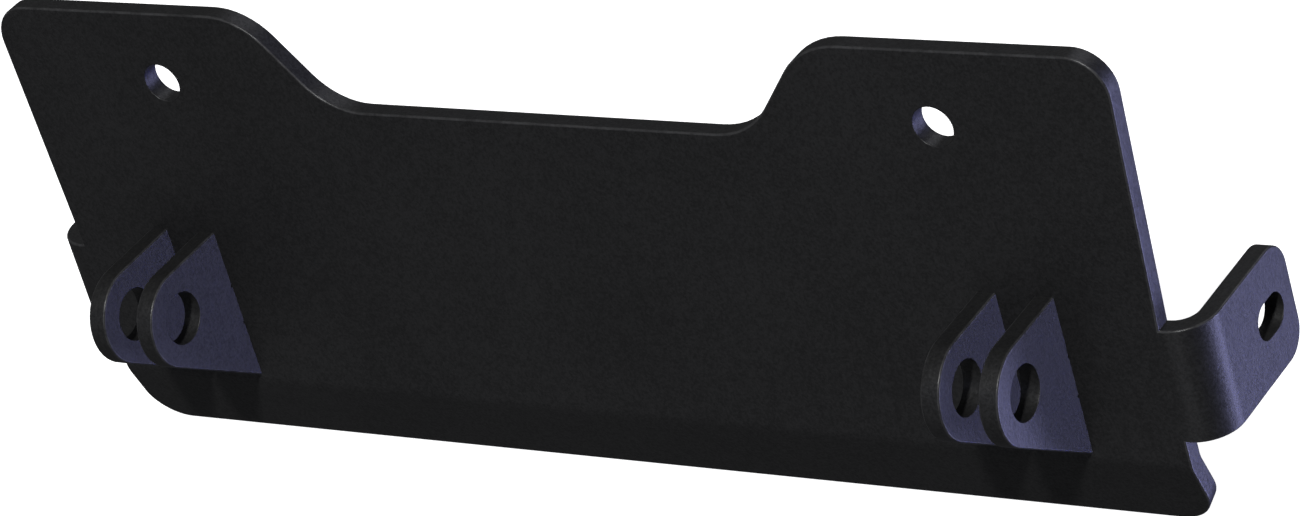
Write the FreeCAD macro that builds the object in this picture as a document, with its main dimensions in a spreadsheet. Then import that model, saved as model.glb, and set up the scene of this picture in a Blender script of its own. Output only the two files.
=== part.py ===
import FreeCAD, Part
import math
import os
import Sketcher

# A snow plow mount bracket: one laser-cut plate with a lower lip and two side wings folded back,
# and two pairs of clevis ears whose tabs pass through the plate and are plug welded behind it.
#
# Frame: +Z up the plate, +Y to the rear, +X to the right as seen from the front.
# The origin is midway between the two upper bolt holes, on the plate's flat rear face.

SIZES = {
    # sheet
    "stock": 6.35,
    "bend_radius": 6.35,
    # flat face, from the lip's bend line to the top edge
    "low_width": 393.7,
    "side_flare": 3.45,
    "plate_height": 136.94,
    "top_corner": 12.7,
    # notch in the top edge
    "shoulder_width": 98.7,
    "notch_run": 25.4,
    "notch_depth": 32.05,
    "notch_corner": 25.4,
    # upper bolt holes, in from the face's lower side edges and down from its top edge
    "bolt_inset": 57.15,
    "bolt_margin": 25.2,
    "bolt_hole": 13.1,
    # lower lip
    "lip_length": 25.4,
    "lip_angle": 20.0,
    "lip_corner": 12.7,
    # side wings
    "wing_flat": 0.65,
    "wing_depth": 53.975,
    "wing_gap": 9.525,
    "wing_height": 38.1,
    "wing_corner": 9.525,
    "slot_width": 11.5,
    "slot_travel": 4.8,
    "slot_inset": 14.9,
    # clevis ears
    "ear_stock": 6.35,
    "ear_inset": 31.75,
    "clevis_gap": 12.7,
    "pin_reach": 25.4,
    "pin_hole": 16.67,
    "nose_radius": 15.875,
    "heel_drop": 38.1,
    "heel_gap": 0.3,
    # tabs, reliefs and plug welds
    "tab_length": 12.7,
    "tab_clearance": 0.1,
    "relief_radius": 0.5,
    "weld_depth": 1.6,
    "weld_lap": 1.8,
    "weld_crown": 1.2,
    "weld_round": 0.9,
}

# Lengths and heights that follow from the sheet, as expressions.
BEND_OUTER = "(Sizes.bend_radius + Sizes.stock)"
TOP_HALF = "(Sizes.low_width / 2 + Sizes.side_flare)"
MOUTH_HALF = f"({TOP_HALF} - Sizes.shoulder_width)"
NOTCH_FLOOR = "(Sizes.bolt_margin - Sizes.notch_depth)"
LIP_LINE = "(Sizes.bolt_margin - Sizes.plate_height)"
LIP_SETBACK = f"({BEND_OUTER} * tan(Sizes.lip_angle / 2))"
LIP_START = f"({LIP_LINE} + {LIP_SETBACK})"
WING_START = "(Sizes.low_width / 2 + Sizes.wing_flat)"
WING_HALF = f"({WING_START} + {BEND_OUTER})"
WING_END = "(Sizes.wing_depth - Sizes.stock)"
WING_LOW = f"({LIP_LINE} + Sizes.wing_gap)"
WING_TOP = f"({WING_LOW} + Sizes.wing_height)"
PIN_HEIGHT = f"({LIP_START} + Sizes.heel_gap + Sizes.heel_drop)"
TAB_MIDDLE = "((Sizes.nose_radius - Sizes.heel_drop) / 2)"
TAB_HEIGHT = f"({PIN_HEIGHT} + {TAB_MIDDLE})"
OUTER_FACE = "(Sizes.low_width / 2 - Sizes.ear_inset)"
INNER_FACE = f"({OUTER_FACE} - Sizes.ear_stock - Sizes.clevis_gap)"
EAR_FACES = {
    "ear_left_outer": f"-{OUTER_FACE}",
    "ear_left_inner": f"-{INNER_FACE}",
    "ear_right_inner": f"({INNER_FACE} - Sizes.ear_stock)",
    "ear_right_outer": f"({OUTER_FACE} - Sizes.ear_stock)",
}
SIDES = (1, -1)

doc = FreeCAD.newDocument("plow_mount_bracket")
sheet = doc.addObject("Spreadsheet::Sheet", "Sizes")
for row, (alias, size) in enumerate(SIZES.items(), start=1):
    sheet.set(f"A{row}", alias)
    sheet.set(f"B{row}", str(size))
    sheet.setAlias(f"B{row}", alias)
doc.recompute()


def value(expression):
    """The number that an expression of the sheet's cells gives."""
    result = sheet.evalExpression(str(expression))
    return float(getattr(result, "Value", result))


def new_body(name):
    body = doc.addObject("PartDesign::Body", name)
    body.Label = name
    return body


def new_sketch(body, name, plane, offset="0"):
    """A sketch on one of the body's own origin planes, moved along the plane's normal."""
    sketch = body.newObject("Sketcher::SketchObject", name)
    origin_plane = next(item for item in body.Origin.OriginFeatures if item.Role == plane)
    sketch.AttachmentSupport = [(origin_plane, "")]
    sketch.MapMode = "FlatFace"
    sketch.setExpression("AttachmentOffset.Base.z", offset)
    return sketch


def bind(sketch, constraint, expression):
    index = sketch.addConstraint(constraint)
    sketch.setExpression(f"Constraints[{index}]", expression)


def pin_point(sketch, geometry, end, across, up):
    """Ties one point of a sketch to the sketch's origin by two bound distances."""
    for kind, expression in (("DistanceX", across), ("DistanceY", up)):
        size = value(expression)
        if size < 0:
            bind(sketch, Sketcher.Constraint(kind, geometry, end, -1, 1, -size), f"-({expression})")
        else:
            bind(sketch, Sketcher.Constraint(kind, -1, 1, geometry, end, size), str(expression))


def add_outline(sketch, corners, arcs=None):
    """A closed profile: corners are (across, up) expressions, and arcs maps the number of the
    corner that an arc starts from to (centre across, centre up, radius, "left" or "right")."""
    arcs = arcs or {}
    points = [FreeCAD.Vector(value(across), value(up), 0) for across, up in corners]
    count = len(points)
    first = sketch.GeometryCount
    ends = []
    for number, start in enumerate(points):
        finish = points[(number + 1) % count]
        if number not in arcs:
            sketch.addGeometry(Part.LineSegment(start, finish))
            ends.append((1, 2))
            continue
        across, up, radius, turn = arcs[number]
        centre = FreeCAD.Vector(value(across), value(up), 0)
        angles = [math.atan2(p.y - centre.y, p.x - centre.x) for p in (start, finish)]
        if turn == "right":
            angles.reverse()
        circle = Part.Circle(centre, FreeCAD.Vector(0, 0, 1), value(radius))
        sketch.addGeometry(Part.ArcOfCircle(circle, angles[0], angles[1]))
        ends.append((1, 2) if turn == "left" else (2, 1))
    for number, (across, up) in enumerate(corners):
        geometry = first + number
        previous = (number - 1) % count
        sketch.addConstraint(Sketcher.Constraint(
            "Coincident", first + previous, ends[previous][1], geometry, ends[number][0]))
        pin_point(sketch, geometry, ends[number][0], across, up)
        if number in arcs:
            radius = arcs[number][2]
            bind(sketch, Sketcher.Constraint("Radius", geometry, value(radius)), radius)


def add_circle(sketch, across, up, diameter):
    centre = FreeCAD.Vector(value(across), value(up), 0)
    geometry = sketch.addGeometry(
        Part.Circle(centre, FreeCAD.Vector(0, 0, 1), value(diameter) / 2))
    pin_point(sketch, geometry, 3, across, up)
    bind(sketch, Sketcher.Constraint("Diameter", geometry, value(diameter)), diameter)


def add_slot(sketch, centres, width):
    """A round-ended slot about two centres, each an (across, up) pair of expressions."""
    axis = FreeCAD.Vector(0, 0, 1)
    low, high = (FreeCAD.Vector(value(across), value(up), 0) for across, up in centres)
    radius = value(width) / 2
    turn = math.atan2(high.y - low.y, high.x - low.x) + math.pi / 2
    arcs = [
        sketch.addGeometry(Part.ArcOfCircle(Part.Circle(low, axis, radius), turn, turn + math.pi)),
        sketch.addGeometry(Part.ArcOfCircle(Part.Circle(high, axis, radius), turn - math.pi, turn)),
    ]
    side = FreeCAD.Vector(math.cos(turn), math.sin(turn), 0) * radius
    lines = [
        sketch.addGeometry(Part.LineSegment(low - side, high - side)),
        sketch.addGeometry(Part.LineSegment(high + side, low + side)),
    ]
    for number in (0, 1):
        sketch.addConstraint(
            Sketcher.Constraint("Tangent", arcs[number], 2, lines[number], 1))
        sketch.addConstraint(
            Sketcher.Constraint("Tangent", lines[number], 2, arcs[1 - number], 1))
        pin_point(sketch, arcs[number], 3, *centres[number])
    sketch.addConstraint(Sketcher.Constraint("Equal", arcs[0], arcs[1]))
    bind(sketch, Sketcher.Constraint("Radius", arcs[0], radius), f"({width}) / 2")


def box_corners(left, right, bottom, top):
    return [(left, bottom), (right, bottom), (right, top), (left, top)]


def add_pad(body, name, sketch, length, both_ways=False, reverse=False):
    pad = body.newObject("PartDesign::Pad", name)
    pad.Profile = sketch
    pad.setExpression("Length", length)
    pad.SideType = "Symmetric" if both_ways else "One side"
    pad.Reversed = reverse
    pad.Refine = True
    doc.recompute()
    return pad


def add_through_pocket(body, name, sketch):
    """A pocket right through the body both ways; it has to take material away."""
    before = body.Shape.Volume
    pocket = body.newObject("PartDesign::Pocket", name)
    pocket.Profile = sketch
    pocket.Type = "ThroughAll"
    pocket.SideType = "Symmetric"
    doc.recompute()
    if body.Shape.Volume >= before:
        raise RuntimeError(f"{name} cuts nothing")
    return pocket


def place(side, across, along, up):
    """A point from expressions, mirrored to the left where side is -1."""
    return FreeCAD.Vector(side * value(across), value(along), value(up))


def add_fillet(body, name, radius, places):
    """Rounds the edges whose middles lie nearest to the given places."""
    edges = body.Tip.Shape.Edges
    chosen = []
    for middle in places:
        distances = [(edge.CenterOfMass - middle).Length for edge in edges]
        chosen.append(f"Edge{distances.index(min(distances)) + 1}")
    base = body.Tip
    fillet = body.newObject("PartDesign::Fillet", name)
    fillet.Base = (base, chosen)
    fillet.setExpression("Radius", radius)
    doc.recompute()
    return fillet


def add_face(body):
    """The flat face with its notch, shoulders and two bolt holes."""
    face = new_sketch(body, "face_outline", "XZ_Plane")
    right_side = [
        ("Sizes.low_width / 2", LIP_START),
        ("Sizes.low_width / 2", WING_TOP),
        (TOP_HALF, "Sizes.bolt_margin"),
        (MOUTH_HALF, "Sizes.bolt_margin"),
        (f"({MOUTH_HALF} - Sizes.notch_run)", NOTCH_FLOOR),
    ]
    left_side = [(f"-({across})", up) for across, up in reversed(right_side)]
    add_outline(face, right_side + left_side)
    for side in SIDES:
        hole_across = f"{side} * (Sizes.low_width / 2 - Sizes.bolt_inset)"
        add_circle(face, hole_across, "0", "Sizes.bolt_hole")
    add_pad(body, "face", face, "Sizes.stock")
    add_fillet(body, "notch_corners", "Sizes.notch_corner", [
        place(side, across, "-Sizes.stock / 2", up)
        for side in SIDES for across, up in right_side[3:]])
    add_fillet(body, "top_corners", "Sizes.top_corner", [
        place(side, TOP_HALF, "-Sizes.stock / 2", "Sizes.bolt_margin") for side in SIDES])


def add_lip(body):
    """The lower lip: a bend about the rear of the sheet, then a flat run with round corners."""
    lip = new_sketch(body, "lip_section", "YZ_Plane")
    run = f"(Sizes.lip_length - {LIP_SETBACK})"
    bend_ends = [(f"Sizes.bend_radius - {radius} * cos(Sizes.lip_angle)",
                  f"{LIP_START} - {radius} * sin(Sizes.lip_angle)")
                 for radius in (BEND_OUTER, "Sizes.bend_radius")]
    tips = [(f"{across} + {run} * sin(Sizes.lip_angle)", f"{up} - {run} * cos(Sizes.lip_angle)")
            for across, up in bend_ends]
    corners = [("-Sizes.stock", LIP_START), bend_ends[0], tips[0],
               tips[1], bend_ends[1], ("0", LIP_START)]
    bend_centre = ("Sizes.bend_radius", LIP_START)
    add_outline(lip, corners, {0: (*bend_centre, BEND_OUTER, "left"),
                               4: (*bend_centre, "Sizes.bend_radius", "right")})
    add_pad(body, "lip", lip, "Sizes.low_width", both_ways=True)
    tip_middle = [f"(({tips[0][n]}) + ({tips[1][n]})) / 2" for n in (0, 1)]
    add_fillet(body, "lip_corners", "Sizes.lip_corner", [
        place(side, "Sizes.low_width / 2", *tip_middle) for side in SIDES])


def add_wings(body):
    """The two wings: each runs out from the face, bends square to the rear, and has a slot."""
    wings = new_sketch(body, "wing_sections", "XY_Plane", WING_LOW)
    root = "(Sizes.low_width / 2 - Sizes.stock)"
    inner_half = f"({WING_HALF} - Sizes.stock)"
    section = [(root, "-Sizes.stock"), (WING_START, "-Sizes.stock"),
               (WING_HALF, "Sizes.bend_radius"), (WING_HALF, WING_END),
               (inner_half, WING_END), (inner_half, "Sizes.bend_radius"),
               (WING_START, "0"), (root, "0")]
    for sign, outer_turn, inner_turn in (("", "left", "right"), ("-", "right", "left")):
        bend_centre = (f"{sign}{WING_START}", "Sizes.bend_radius")
        add_outline(wings, [(f"{sign}{across}", up) for across, up in section],
                    {1: (*bend_centre, BEND_OUTER, outer_turn),
                     5: (*bend_centre, "Sizes.bend_radius", inner_turn)})
    add_pad(body, "wings", wings, "Sizes.wing_height")
    wing_middle = f"({WING_HALF} - Sizes.stock / 2)"
    add_fillet(body, "wing_corners", "Sizes.wing_corner", [
        place(side, wing_middle, WING_END, up) for side in SIDES for up in (WING_LOW, WING_TOP)])

    slots = new_sketch(body, "wing_slots", "YZ_Plane")
    slot_height = f"({WING_LOW} + Sizes.wing_height / 2)"
    add_slot(slots, [(f"{WING_END} - Sizes.slot_inset {sign} Sizes.slot_travel / 2", slot_height)
                     for sign in "-+"], "Sizes.slot_width")
    add_through_pocket(body, "wing_slot_cut", slots)


def make_plate():
    """The sheet: flat face, lip, wings, and a slot through the face for each ear's tab."""
    body = new_body("mount_plate")
    add_face(body)
    add_lip(body)
    add_wings(body)
    slots = new_sketch(body, "tab_slots", "XZ_Plane")
    half_slot = "(Sizes.tab_length / 2 + Sizes.tab_clearance)"
    for low_face in EAR_FACES.values():
        add_outline(slots, box_corners(
            f"{low_face} - Sizes.tab_clearance",
            f"{low_face} + Sizes.ear_stock + Sizes.tab_clearance",
            f"{TAB_HEIGHT} - {half_slot}", f"{TAB_HEIGHT} + {half_slot}"))
    add_through_pocket(body, "tab_slot_cut", slots)
    return body


def make_ear(name, low_face):
    """A clevis ear about its pin axis: a nose round the pin hole, a square top edge, a sloping
    lower edge, and a tab with corner reliefs on the edge that meets the plate."""
    body = new_body(name)

    profile = new_sketch(body, f"{name}_profile", "YZ_Plane")
    nose = value("Sizes.nose_radius")
    reach, heel = value("Sizes.pin_reach"), value("Sizes.heel_drop")
    tangent_angle = math.atan2(-heel, reach) - math.acos(nose / math.hypot(reach, heel))
    circle = Part.Circle(FreeCAD.Vector(0, 0, 0), FreeCAD.Vector(0, 0, 1), nose)
    arc = profile.addGeometry(
        Part.ArcOfCircle(circle, math.pi / 2, tangent_angle + 2 * math.pi))
    tangent_point = FreeCAD.Vector(
        nose * math.cos(tangent_angle), nose * math.sin(tangent_angle), 0)
    heel_point = FreeCAD.Vector(reach, -heel, 0)
    top_back = FreeCAD.Vector(reach, nose, 0)
    lower = profile.addGeometry(Part.LineSegment(tangent_point, heel_point))
    back = profile.addGeometry(Part.LineSegment(heel_point, top_back))
    top = profile.addGeometry(Part.LineSegment(top_back, FreeCAD.Vector(0, nose, 0)))
    profile.addConstraint([
        Sketcher.Constraint("Coincident", arc, 3, -1, 1),
        Sketcher.Constraint("Coincident", lower, 2, back, 1),
        Sketcher.Constraint("Coincident", back, 2, top, 1),
        Sketcher.Constraint("Tangent", arc, 2, lower, 1),
        Sketcher.Constraint("Tangent", top, 2, arc, 1),
        Sketcher.Constraint("Vertical", back),
        Sketcher.Constraint("Horizontal", top),
    ])
    bind(profile, Sketcher.Constraint("Radius", arc, nose), "Sizes.nose_radius")
    pin_point(profile, back, 1, "Sizes.pin_reach", "-Sizes.heel_drop")
    add_circle(profile, "0", "0", "Sizes.pin_hole")
    add_pad(body, f"{name}_cheek", profile, "Sizes.ear_stock")

    tab = new_sketch(body, f"{name}_tab_outline", "YZ_Plane")
    half_tab = "Sizes.tab_length / 2"
    add_outline(tab, box_corners(
        "Sizes.pin_reach - Sizes.relief_radius",
        "Sizes.pin_reach + Sizes.stock - Sizes.weld_depth",
        f"{TAB_MIDDLE} - {half_tab}", f"{TAB_MIDDLE} + {half_tab}"))
    add_pad(body, f"{name}_tab", tab, "Sizes.ear_stock")

    reliefs = new_sketch(body, f"{name}_reliefs", "YZ_Plane")
    for sign in "-+":
        add_circle(reliefs, "Sizes.pin_reach",
                   f"{TAB_MIDDLE} {sign} (Sizes.tab_length / 2 + Sizes.relief_radius)",
                   "2 * Sizes.relief_radius")
    add_through_pocket(body, f"{name}_relief_cut", reliefs)

    body.setExpression("Placement.Base.x", low_face)
    body.setExpression("Placement.Base.y", "-Sizes.stock - Sizes.pin_reach")
    body.setExpression("Placement.Base.z", PIN_HEIGHT)
    return body


def make_weld(name, low_face):
    """A plug weld: it fills the slot behind an ear's tab and crowns over the plate's rear face."""
    body = new_body(name)
    half_width = "(Sizes.ear_stock / 2 + Sizes.tab_clearance)"
    half_length = "(Sizes.tab_length / 2 + Sizes.tab_clearance)"

    plug = new_sketch(body, f"{name}_plug_outline", "XZ_Plane")
    add_outline(plug, box_corners(f"-{half_width}", half_width, f"-{half_length}", half_length))
    add_pad(body, f"{name}_plug", plug, "Sizes.weld_depth")

    crown = new_sketch(body, f"{name}_crown_outline", "XZ_Plane")
    run = f"({half_length} - {half_width})"
    add_slot(crown, [("0", f"-{run}"), ("0", run)], f"2 * ({half_width} + Sizes.weld_lap)")
    add_pad(body, f"{name}_crown", crown, "Sizes.weld_crown", reverse=True)

    crown_edges = [edge.CenterOfMass for edge in body.Tip.Shape.Edges
                   if abs(edge.BoundBox.YMin - value("Sizes.weld_crown")) < 1e-6]
    add_fillet(body, f"{name}_round", "Sizes.weld_round", crown_edges)

    body.setExpression("Placement.Base.x", f"{low_face} + Sizes.ear_stock / 2")
    body.setExpression("Placement.Base.z", TAB_HEIGHT)
    return body


def check(bodies):
    """Stops if any object failed or any sub-part is not one valid solid."""
    for item in doc.Objects:
        if "Invalid" in item.State or "Error" in item.State:
            raise RuntimeError(f"{item.Name} failed: {item.State}")
    for body in bodies:
        shape = body.Shape
        if shape.isNull() or not shape.isValid() or len(shape.Solids) != 1:
            raise RuntimeError(f"{body.Label} is not one valid solid")


bodies = [make_plate()]
for ear_name, face_expression in EAR_FACES.items():
    bodies.append(make_ear(ear_name, face_expression))
    bodies.append(make_weld(ear_name.replace("ear", "weld"), face_expression))
doc.recompute()
check(bodies)

os.makedirs("parts", exist_ok=True)
for body in bodies:
    body.Shape.exportStep(os.path.join("parts", f"{body.Label}.step"))
    print(f"{body.Label}: {body.Shape.Volume / 1000:.2f} cm3, box {body.Shape.BoundBox}")
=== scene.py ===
import math

import bmesh
import bpy
from mathutils import Matrix, Vector
from mathutils.bvhtree import BVHTree


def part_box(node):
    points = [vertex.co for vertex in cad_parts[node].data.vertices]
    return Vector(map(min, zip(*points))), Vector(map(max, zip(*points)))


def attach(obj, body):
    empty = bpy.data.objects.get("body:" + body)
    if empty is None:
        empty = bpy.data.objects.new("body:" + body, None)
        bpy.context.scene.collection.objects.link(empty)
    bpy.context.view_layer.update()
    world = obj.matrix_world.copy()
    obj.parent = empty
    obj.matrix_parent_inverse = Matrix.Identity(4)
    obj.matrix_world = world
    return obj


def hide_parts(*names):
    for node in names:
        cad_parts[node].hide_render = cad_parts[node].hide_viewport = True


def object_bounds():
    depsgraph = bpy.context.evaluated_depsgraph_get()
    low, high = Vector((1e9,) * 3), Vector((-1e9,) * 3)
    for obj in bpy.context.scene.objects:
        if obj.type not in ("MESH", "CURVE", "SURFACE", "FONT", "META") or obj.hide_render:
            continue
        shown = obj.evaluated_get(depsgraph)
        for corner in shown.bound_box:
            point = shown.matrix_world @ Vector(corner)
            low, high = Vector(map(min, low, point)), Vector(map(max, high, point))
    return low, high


# A snow plow mount bracket in fine-textured black powder coat, seen from above its front right.
# The plate and the four clevis ears take their shape from the frame, with every open edge rounded
# as the coat rounds it. The plug welds behind the ears are built here, with their ripples.
#
# Units are metres and degrees. +Z is up the plate, +Y its rear, +X its right seen from the front.

SHEET_PIECES = {
    "mount_plate": "folded_plate",
    "ear_left_outer": "clevis_ear_left_outer",
    "ear_left_inner": "clevis_ear_left_inner",
    "ear_right_inner": "clevis_ear_right_inner",
    "ear_right_outer": "clevis_ear_right_outer",
}
WELDS = {
    "weld_left_outer": "plug_weld_left_outer",
    "weld_left_inner": "plug_weld_left_inner",
    "weld_right_inner": "plug_weld_right_inner",
    "weld_right_outer": "plug_weld_right_outer",
}

# Edges of the cut sheet. The holes are crisper than the outlines.
EDGE_ROUND = 0.0006
HOLE_ROUND = 0.0003
EDGE_STEPS = 3
EDGE_MARK = "rounded_edge"
HOLE_SPAN = 0.02
SEAT_MARGIN = 0.0008
MERGE_DISTANCE = 1e-6
FLAT_ANGLE = math.radians(0.3)
SHARP_ANGLE = math.radians(40)

# Plug weld beads. The dome's powers shape its side: full in the middle, steep at the rim.
BEAD_TURNS = 96
BEAD_RINGS = 18
BEAD_RIPPLE = 0.0013
BEAD_RIPPLE_DEPTH = 0.00009
BEAD_WANDER = 0.04
BEAD_SINK = 0.00005
BEAD_SHIFT = 0.37
DOME_SPREAD = 2.6
DOME_FULLNESS = 0.55
PLUG_ROUND = 0.0032

# Powder coat. The scales are noise features to the metre.
COAT_DARK = (0.0127, 0.0127, 0.013, 1)
COAT_PALE = (0.0157, 0.0157, 0.0161, 1)
# COAT_EDGE_HIGHLIGHT is a painted highlight: a paler colour along the rounded edges, standing in
# for the light that they catch.
COAT_EDGE_HIGHLIGHT = (0.045, 0.045, 0.046, 1)
GRAIN_SCALE = 1700
PEBBLE_SCALE = 1000
PEEL_SCALE = 260
CLOUD_SCALE = 14
TONE_RANGE = (0.87, 1.27)
GLOSS_RANGE = (0.36, 0.64)
SHEEN_RANGE = (0.8, 1.4)
ROUGHNESS_SWING = 0.05
EDGE_SMOOTHING = -0.08
PLATE_ROUGHNESS = 0.45
PLATE_GRAIN_DEPTH = 0.00006
WELD_ROUGHNESS = 0.42
WELD_GRAIN_DEPTH = 0.00005

FLOOR_GAP = 0.0005
FLOOR_DARK = (0.84, 0.84, 0.84, 1)
FLOOR_PALE = (0.86, 0.86, 0.86, 1)
FLOOR_PATCH_SCALE = 3
COVE_RADIUS = 9.0
COVE_BEND = 3.0
COVE_TOP = 12.0
COVE_TURNS = 96
COVE_BEND_STEPS = 12

SOFTBOX_DISTANCE = 2.0
SOFTBOX_CENTRE = Vector((0.1, 0.0, -0.06))
SKY_COLOUR = (0.96, 0.97, 1, 1)
SKY_STRENGTH = 0.062

CAMERA_PLACE = (0.88724, -1.07037, 0.68585)
CAMERA_TARGET = (0.02786, -0.00635, -0.05217)
CAMERA_ROLL = 16.642
CAMERA_LENS = 143.94
CAMERA_SENSOR = 36.0

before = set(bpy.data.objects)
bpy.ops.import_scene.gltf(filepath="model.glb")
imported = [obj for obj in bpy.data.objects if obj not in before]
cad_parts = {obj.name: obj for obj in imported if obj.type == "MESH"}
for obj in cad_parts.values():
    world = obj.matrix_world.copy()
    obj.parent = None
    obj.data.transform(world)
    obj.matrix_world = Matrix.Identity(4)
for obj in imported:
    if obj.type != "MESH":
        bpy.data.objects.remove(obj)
cad_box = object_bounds()


# ---- Materials ----

class Nodes:
    """Short calls for building one material's node tree."""

    def __init__(self, name):
        self.material = bpy.data.materials.new(name)
        self.material.use_nodes = True
        self.tree = self.material.node_tree
        self.shader = self.tree.nodes["Principled BSDF"]
        coordinates = self.tree.nodes.new("ShaderNodeTexCoord")
        self.place = coordinates.outputs["Object"]

    def add(self, kind, links=None, **settings):
        """A node of this kind: links maps input names to sockets or plain values."""
        node = self.tree.nodes.new(kind)
        for key, setting in settings.items():
            setattr(node, key, setting)
        for socket, source in (links or {}).items():
            if isinstance(source, bpy.types.NodeSocket):
                self.tree.links.new(source, node.inputs[socket])
            else:
                node.inputs[socket].default_value = source
        return node

    def noise(self, scale, detail=2.0, roughness=0.5):
        """Noise with this many features to the metre, mostly between 0.3 and 0.7."""
        return self.add("ShaderNodeTexNoise", {
            "Vector": self.place, "Scale": scale, "Detail": detail, "Roughness": roughness,
        }).outputs["Fac"]

    def spread(self, source, low, high, from_low, from_high):
        """The source's range from_low..from_high mapped to low..high."""
        return self.add("ShaderNodeMapRange", {
            "Value": source, "From Min": from_low, "From Max": from_high,
            "To Min": low, "To Max": high}).outputs["Result"]

    def blend(self, factor, first, second):
        """The first colour at factor 0, the second at 1."""
        mix = self.add("ShaderNodeMix", {"Factor": factor, "A": first, "B": second},
                       data_type="RGBA")
        return mix.outputs[2]

    def sum(self, first, second, share):
        """First plus share times second."""
        return self.add("ShaderNodeMath", {0: second, 1: share, 2: first},
                        operation="MULTIPLY_ADD").outputs[0]

    def product(self, first, second):
        return self.add("ShaderNodeMath", {0: first, 1: second}, operation="MULTIPLY").outputs[0]

    def drive(self, socket, source):
        """Connects a node's output to an input of the material's shader."""
        self.tree.links.new(source, self.shader.inputs[socket])


def powder_coat(name, grain_depth, roughness):
    """Black powder coat: a fine pebble grain with pale specks, over a slow unevenness of tone.
    Along the rounded edges the colour is painted paler as a highlight, and the coat is a little
    smoother."""
    nodes = Nodes(name)
    grain = nodes.noise(GRAIN_SCALE, roughness=0.55)
    pebble = nodes.noise(PEBBLE_SCALE)
    peel = nodes.noise(PEEL_SCALE)
    cloud = nodes.noise(CLOUD_SCALE, detail=3.0, roughness=0.55)

    edge = nodes.add("ShaderNodeAttribute", attribute_name=EDGE_MARK).outputs["Fac"]
    # Painted highlight: the rounded edges' faces, broken up by the peel noise, where the coat is
    # painted paler. The same mask makes them a little smoother.
    edge_highlight = nodes.product(edge, nodes.spread(peel, 0.35, 1, 0.35, 0.6))

    tone = nodes.sum(nodes.sum(nodes.sum(pebble, grain, 0.6), peel, 0.3), cloud, 0.25)
    coat = nodes.blend(nodes.spread(tone, 0, 1, *TONE_RANGE), COAT_DARK, COAT_PALE)
    # The paler colour along the rounded edges is a painted highlight.
    nodes.drive("Base Color", nodes.blend(edge_highlight, coat, COAT_EDGE_HIGHLIGHT))
    nodes.drive("Specular IOR Level", nodes.spread(tone, *GLOSS_RANGE, *TONE_RANGE))

    sheen = nodes.sum(nodes.sum(cloud, pebble, 0.8), peel, 0.4)
    rough = nodes.spread(sheen, roughness - ROUGHNESS_SWING, roughness + ROUGHNESS_SWING,
                         *SHEEN_RANGE)
    nodes.drive("Roughness", nodes.sum(rough, edge_highlight, EDGE_SMOOTHING))

    height = nodes.sum(nodes.sum(pebble, grain, 0.5), peel, 1.2)
    bump = nodes.add("ShaderNodeBump", {"Height": height, "Strength": 1.0,
                                        "Distance": grain_depth})
    nodes.drive("Normal", bump.outputs["Normal"])
    return nodes.material


def pale_floor():
    """White and matt, with a glow that keeps it free of shadows."""
    nodes = Nodes("pale_floor")
    patches = nodes.noise(FLOOR_PATCH_SCALE)
    nodes.drive("Base Color", nodes.blend(patches, FLOOR_DARK, FLOOR_PALE))
    nodes.shader.inputs["Roughness"].default_value = 0.9
    nodes.shader.inputs["Specular IOR Level"].default_value = 0.0
    nodes.shader.inputs["Emission Color"].default_value = (1, 1, 1, 1)
    nodes.shader.inputs["Emission Strength"].default_value = 1.0
    return nodes.material


# ---- Cut sheet ----

def smooth_mesh(shape, name):
    """Turns the finished bmesh into a mesh that is shaded smooth."""
    for face in shape.faces:
        face.smooth = True
    mesh = bpy.data.meshes.new(name)
    shape.to_mesh(mesh)
    shape.free()
    return mesh


def is_open_edge(edge, node):
    """True for a sharp convex edge that shows: not in a tab slot, nor where an ear is seated."""
    if edge.calc_face_angle_signed(0) < SHARP_ANGLE:
        return False
    if node != "mount_plate":
        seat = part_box("mount_plate")[0].y - SEAT_MARGIN
        return min(vert.co.y for vert in edge.verts) < seat
    middle = (edge.verts[0].co + edge.verts[1].co) / 2
    for weld in WELDS:
        low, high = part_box(weld)
        if low.x < middle.x < high.x and low.z < middle.z < high.z:
            return False
    return True


def is_hole_edge(edge, walls):
    """True where one of the edge's faces looks straight across a hole at its other wall."""
    for face in edge.link_faces:
        start = face.calc_center_median() + face.normal * MERGE_DISTANCE
        if walls.ray_cast(start, face.normal, HOLE_SPAN)[0] is not None:
            return True
    return False


def round_edges(shape, edges, radius):
    """Rounds these edges and gives back the new faces along them."""
    rounded = bmesh.ops.bevel(shape, geom=edges, offset=radius, segments=EDGE_STEPS, profile=0.5,
                              affect="EDGES", clamp_overlap=True, harden_normals=False)
    return rounded["faces"]


def softened(node):
    """The node's shape with whole flat faces and its open edges rounded. The faces along its
    outlines are marked, where the coat gets its painted highlight and is a little smoother."""
    shape = bmesh.new()
    shape.from_mesh(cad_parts[node].data)
    bmesh.ops.remove_doubles(shape, verts=shape.verts, dist=MERGE_DISTANCE)
    bmesh.ops.dissolve_limit(shape, angle_limit=FLAT_ANGLE, verts=shape.verts, edges=shape.edges)
    mark = shape.faces.layers.float.new(EDGE_MARK)
    walls = BVHTree.FromBMesh(shape)
    sharp = [edge for edge in shape.edges if is_open_edge(edge, node)]
    hole_edges = [edge for edge in sharp if is_hole_edge(edge, walls)]
    outline = [edge for edge in sharp if edge not in hole_edges]
    # The marked faces get the painted highlight in the coat.
    for face in round_edges(shape, outline, EDGE_ROUND):
        face[mark] = 1.0
    round_edges(shape, [edge for edge in hole_edges if edge.is_valid], HOLE_ROUND)
    for edge in shape.edges:
        if edge.calc_face_angle(0) > SHARP_ANGLE:
            edge.smooth = False
    return smooth_mesh(shape, node + "_mesh")


# ---- Plug welds ----

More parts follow.
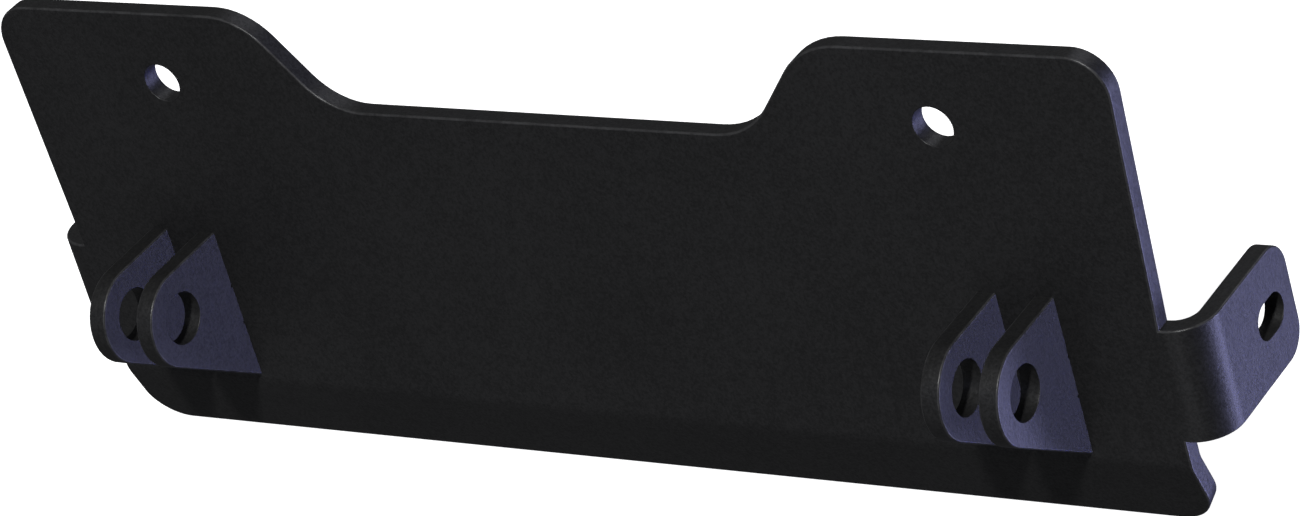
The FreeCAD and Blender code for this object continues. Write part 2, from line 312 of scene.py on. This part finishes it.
def stadium_point(share, radius, run):
    """The point (across, along) at this share of the way round a stadium."""
    side, turn = (share, 1) if share < 0.5 else (share - 0.5, -1)
    way = 2 * side * (2 * run + math.pi * radius)
    if way < 2 * run:
        return turn * radius, turn * (way - run)
    angle = (way - 2 * run) / radius
    return turn * radius * math.cos(angle), turn * (run + radius * math.sin(angle))


def bead_height(across, along, part, crown, end_radius):
    """How far the bead stands off the plate. Part is 0 in its middle and 1 at its rim."""
    dome = max(0.0, 1 - part ** DOME_SPREAD) ** DOME_FULLNESS
    crest = along + across * across / (2 * end_radius)
    ripple = math.cos(2 * math.pi * crest / BEAD_RIPPLE)
    plain = (crown + BEAD_SINK - 2 * BEAD_RIPPLE_DEPTH) * dome
    return plain + BEAD_RIPPLE_DEPTH * (1 + ripple) * math.sqrt(dome) - BEAD_SINK


def join_rings(shape, rings, top, bottom):
    """Faces between neighbouring rings, and from the end rings to the top and bottom points."""
    for turn in range(BEAD_TURNS):
        after = (turn + 1) % BEAD_TURNS
        for inner, outer in zip(rings, rings[1:]):
            shape.faces.new((inner[turn], outer[turn], outer[after], inner[after]))
        shape.faces.new((top, rings[0][turn], rings[0][after]))
        shape.faces.new((bottom, rings[-1][after], rings[-1][turn]))
    bmesh.ops.recalc_face_normals(shape, faces=shape.faces)


def bead_mesh(node, shift):
    """A rippled plug weld in the node's box: a domed crown over a plug that goes into the slot.
    Shift moves the ripples and the rim's wander along, so no two beads are the same."""
    low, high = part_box(node)
    centre = (low + high) / 2
    end_radius = (high.x - low.x) / 2
    run = (high.z - low.z) / 2 - end_radius
    shape = bmesh.new()

    def bead_point(across, along, part):
        height = bead_height(across, along + shift * BEAD_RIPPLE, part, high.y, end_radius)
        return shape.verts.new((centre.x + across, height, centre.z + along))

    rings = []
    for number in range(1, BEAD_RINGS + 1):
        part = number / BEAD_RINGS
        ring = []
        for turn in range(BEAD_TURNS):
            across, along = stadium_point(turn / BEAD_TURNS, part * end_radius, part * run)
            wave = math.sin(6 * math.pi * turn / BEAD_TURNS + shift)
            across *= 1 - BEAD_WANDER * part * (1 + wave)
            ring.append(bead_point(across, along, part))
        rings.append(ring)
    for height in (-BEAD_SINK, low.y):
        ring = []
        for turn in range(BEAD_TURNS):
            across, along = stadium_point(turn / BEAD_TURNS, PLUG_ROUND, PLUG_ROUND)
            ring.append(shape.verts.new((centre.x + across, height, centre.z + along)))
        rings.append(ring)
    top = bead_point(0, 0, 0)
    bottom = shape.verts.new((centre.x, low.y, centre.z))
    join_rings(shape, rings, top, bottom)
    return smooth_mesh(shape, node + "_mesh")


# ---- Pieces ----

def new_piece(name, mesh, node, material):
    """A visual piece that stands in for one of the frame's nodes."""
    piece = bpy.data.objects.new(name, mesh)
    bpy.context.scene.collection.objects.link(piece)
    mesh.materials.clear()
    mesh.materials.append(material)
    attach(piece, "root")
    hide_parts(node)
    return piece


def steady_normals(piece):
    """Keeps flat faces flat where they run into their rounded edges."""
    modifier = piece.modifiers.new("flat_faces", "WEIGHTED_NORMAL")
    modifier.mode = "FACE_AREA"
    modifier.weight = 100
    modifier.keep_sharp = True


def make_sheet_pieces(coat):
    for node, name in SHEET_PIECES.items():
        piece = new_piece(name, softened(node), node, coat)
        steady_normals(piece)


def make_welds(coat):
    for number, (node, name) in enumerate(WELDS.items()):
        new_piece(name, bead_mesh(node, BEAD_SHIFT * number), node, coat)


# ---- Studio ----

def make_stage():
    """A pale floor that curves up into a wall all round. Its bounce stays off the black coat."""
    floor_height = cad_box[0].z - FLOOR_GAP
    profile = [(0.0, floor_height)]
    for step in range(COVE_BEND_STEPS + 1):
        angle = math.pi / 2 * step / COVE_BEND_STEPS
        profile.append((COVE_RADIUS + COVE_BEND * math.sin(angle),
                        floor_height + COVE_BEND * (1 - math.cos(angle))))
    profile.append((profile[-1][0], COVE_TOP))
    shape = bmesh.new()
    verts = [shape.verts.new((radius, 0, height)) for radius, height in profile]
    edges = [shape.edges.new(pair) for pair in zip(verts, verts[1:])]
    bmesh.ops.spin(shape, geom=verts + edges, cent=(0, 0, 0), axis=(0, 0, 1),
                   angle=2 * math.pi, steps=COVE_TURNS, use_merge=True)
    bmesh.ops.remove_doubles(shape, verts=shape.verts, dist=MERGE_DISTANCE)
    mesh = smooth_mesh(shape, "cove_mesh")
    mesh.materials.append(pale_floor())
    cove = bpy.data.objects.new("cove", mesh)
    bpy.context.scene.collection.objects.link(cove)
    cove.visible_glossy = False
    cove.visible_diffuse = False
    cove.visible_shadow = False


def aim(thing, target, roll=0.0):
    """Turns a camera or light at its place to face the target, rolled clockwise."""
    gaze = (Vector(target) - thing.location).to_track_quat("-Z", "Y").to_matrix().to_4x4()
    thing.rotation_euler = (gaze @ Matrix.Rotation(-math.radians(roll), 4, "Z")).to_euler()


def from_angles(azimuth, elevation):
    """The direction to a place: azimuth 0 is straight in front, 90 to the right."""
    turn, rise = math.radians(azimuth), math.radians(elevation)
    return Vector((math.sin(turn) * math.cos(rise), -math.cos(turn) * math.cos(rise),
                   math.sin(rise)))


def add_light(name, kind, energy, colour, shadow):
    """A light without a shadow wraps round, because near pieces don't block it."""
    data = bpy.data.lights.new(name, kind)
    data.energy = energy
    data.color = colour
    data.use_shadow = shadow
    data.cycles.use_multiple_importance_sampling = shadow
    light = bpy.data.objects.new(name, data)
    bpy.context.scene.collection.objects.link(light)
    return light


def add_sun(name, azimuth, elevation, spread, energy, colour=(1, 1, 1), shadow=True):
    """Even light from far away in that direction, as soft as its spread in degrees."""
    light = add_light(name, "SUN", energy, colour, shadow)
    light.data.angle = math.radians(spread)
    aim(light, -from_angles(azimuth, elevation))


def add_softbox(name, azimuth, elevation, width, height, energy, colour, shadow=True):
    """A rectangular softbox that spans that many degrees, seen from the bracket's right half."""
    light = add_light(name, "AREA", energy, colour, shadow)
    light.data.shape = "RECTANGLE"
    light.data.size = 2 * SOFTBOX_DISTANCE * math.tan(math.radians(width / 2))
    light.data.size_y = 2 * SOFTBOX_DISTANCE * math.tan(math.radians(height / 2))
    light.location = SOFTBOX_CENTRE + SOFTBOX_DISTANCE * from_angles(azimuth, elevation)
    aim(light, SOFTBOX_CENTRE)


def make_lights():
    """Soft white light from the front and above, cool light from the right and behind."""
    world = bpy.data.worlds.new("studio")
    world.use_nodes = True
    background = world.node_tree.nodes["Background"]
    background.inputs["Color"].default_value = SKY_COLOUR
    background.inputs["Strength"].default_value = SKY_STRENGTH
    bpy.context.scene.world = world

    add_sun("key", azimuth=20.3, elevation=48.2, spread=4, energy=2.0)
    add_sun("front_fill", azimuth=-10, elevation=25, spread=40, energy=0.13,
            colour=(0.7, 0.75, 1.0))
    add_sun("low_fill", azimuth=0, elevation=-20, spread=40, energy=0.172,
            colour=(0.92, 0.93, 1.0))
    add_sun("top_rear", azimuth=180, elevation=40, spread=30, energy=0.27,
            colour=(0.9, 0.91, 1.0))
    add_sun("cool_low", azimuth=147, elevation=-45, spread=15, energy=0.06,
            colour=(0.05, 0.06, 1.0), shadow=False)
    add_softbox("cool_softbox", azimuth=125, elevation=-20, width=14, height=50, energy=22,
                colour=(0.5, 0.51, 1.0))
    add_softbox("cool_wrap", azimuth=117, elevation=-20, width=30, height=50, energy=17.6,
                colour=(0.55, 0.56, 1.0), shadow=False)


def make_camera():
    data = bpy.data.cameras.new("camera")
    data.lens = CAMERA_LENS
    data.sensor_width = CAMERA_SENSOR
    camera = bpy.data.objects.new("camera", data)
    camera.location = CAMERA_PLACE
    aim(camera, CAMERA_TARGET, roll=CAMERA_ROLL)
    bpy.context.scene.collection.objects.link(camera)
    bpy.context.scene.camera = camera


make_sheet_pieces(powder_coat("coat_black", PLATE_GRAIN_DEPTH, PLATE_ROUGHNESS))
make_welds(powder_coat("coat_on_weld", WELD_GRAIN_DEPTH, WELD_ROUGHNESS))
make_stage()
make_lights()
make_camera()
bpy.context.scene.view_settings.view_transform = "Standard"
